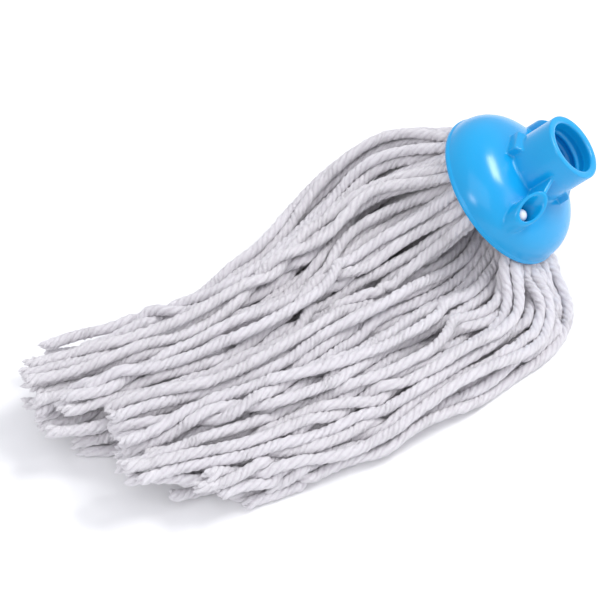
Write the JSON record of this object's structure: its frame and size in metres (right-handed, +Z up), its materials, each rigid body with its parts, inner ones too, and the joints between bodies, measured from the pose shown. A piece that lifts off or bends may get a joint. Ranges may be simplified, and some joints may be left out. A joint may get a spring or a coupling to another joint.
{
  "type": "string mop head",
  "caption": "String mop head lying on the floor: a round plastic socket with a threaded neck, a retainer bar inside it, and loose twisted cotton strings swept to one side.",
  "frame": {"origin": "on the floor, under the middle of the bounding box", "axes": "+Z up; +X along the longest side, towards the threaded socket; the strings sweep towards -X and -Y"},
  "size_m": [0.2262, 0.206, 0.0846],
  "materials": {
    "socket_plastic": "glossy, moulded",
    "bar_plastic": "satin, moulded",
    "cotton_yarn": "twisted cotton, matt and fuzzy"
  },
  "bodies": {
    "head": {"socket_bell": "socket_plastic", "retainer_bar": "bar_plastic", "yarn_fold": "cotton_yarn", "yarn_lock_c5_1": "cotton_yarn", "yarn_lock_c5_2": "cotton_yarn", "yarn_lock_c6_1": "cotton_yarn", "yarn_lock_c6_2": "cotton_yarn", "yarn_lock_c7_1": "cotton_yarn", "yarn_lock_c7_2": "cotton_yarn", "yarn_lock_c7_3": "cotton_yarn", "yarn_lock_c7_4": "cotton_yarn", "yarn_lock_c8_1": "cotton_yarn", "yarn_lock_c8_2": "cotton_yarn", "yarn_lock_c9_1": "cotton_yarn", "yarn_lock_c9_2": "cotton_yarn", "yarn_lock_c10_1": "cotton_yarn", "yarn_lock_c11_1": "cotton_yarn", "yarn_lock_c12_1": "cotton_yarn"},
    "far_outer": {"yarn_lock_c1_1": "cotton_yarn", "yarn_lock_c1_2": "cotton_yarn", "yarn_lock_c2_1": "cotton_yarn", "yarn_lock_c2_2": "cotton_yarn", "yarn_lock_c2_3": "cotton_yarn"},
    "far_inner": {"yarn_lock_c3_1": "cotton_yarn", "yarn_lock_c3_2": "cotton_yarn", "yarn_lock_c3_3": "cotton_yarn", "yarn_lock_c4_1": "cotton_yarn", "yarn_lock_c4_2": "cotton_yarn"},
    "top_outer": {"yarn_lock_c3_4": "cotton_yarn", "yarn_lock_c4_3": "cotton_yarn", "yarn_lock_c5_3": "cotton_yarn", "yarn_lock_c5_4": "cotton_yarn"},
    "top_inner": {"yarn_lock_c6_3": "cotton_yarn"},
    "near_outer": {"yarn_lock_c10_3": "cotton_yarn", "yarn_lock_c11_2": "cotton_yarn", "yarn_lock_c11_3": "cotton_yarn", "yarn_lock_c12_2": "cotton_yarn", "yarn_lock_c9_4": "cotton_yarn"},
    "near_inner": {"yarn_lock_c10_2": "cotton_yarn", "yarn_lock_c8_3": "cotton_yarn", "yarn_lock_c9_3": "cotton_yarn"}
  },
  "joints": [
    {"name": "far_outer_swing", "type": "hinge", "parent": "head", "child": "far_outer", "pos_m": [0.05964, 0.09361, 0.06046], "axis": [0, 0, -1], "range_deg": [0, 26]},
    {"name": "far_inner_swing", "type": "hinge", "parent": "head", "child": "far_inner", "pos_m": [0.05964, 0.09361, 0.06046], "axis": [0, 0, -1], "range_deg": [0, 13]},
    {"name": "top_outer_swing", "type": "hinge", "parent": "head", "child": "top_outer", "pos_m": [0.04364, 0.06761, 0.06546], "axis": [-0.4467, 0.8437, -0.2978], "range_deg": [0, 26]},
    {"name": "top_inner_swing", "type": "hinge", "parent": "head", "child": "top_inner", "pos_m": [0.04364, 0.06761, 0.06546], "axis": [-0.4467, 0.8437, -0.2978], "range_deg": [0, 13]},
    {"name": "near_outer_swing", "type": "hinge", "parent": "head", "child": "near_outer", "pos_m": [0.12764, 0.02761, 0.02546], "axis": [-0.398, 0.199, 0.8955], "range_deg": [0, 24]},
    {"name": "near_inner_swing", "type": "hinge", "parent": "head", "child": "near_inner", "pos_m": [0.12764, 0.02761, 0.02546], "axis": [-0.398, 0.199, 0.8955], "range_deg": [0, 12]}
  ],
  "couplings": [
    {"joint": "far_inner_swing", "follows": "far_outer_swing", "ratio": 0.5},
    {"joint": "top_inner_swing", "follows": "top_outer_swing", "ratio": 0.5},
    {"joint": "near_inner_swing", "follows": "near_outer_swing", "ratio": 0.5}
  ]
}
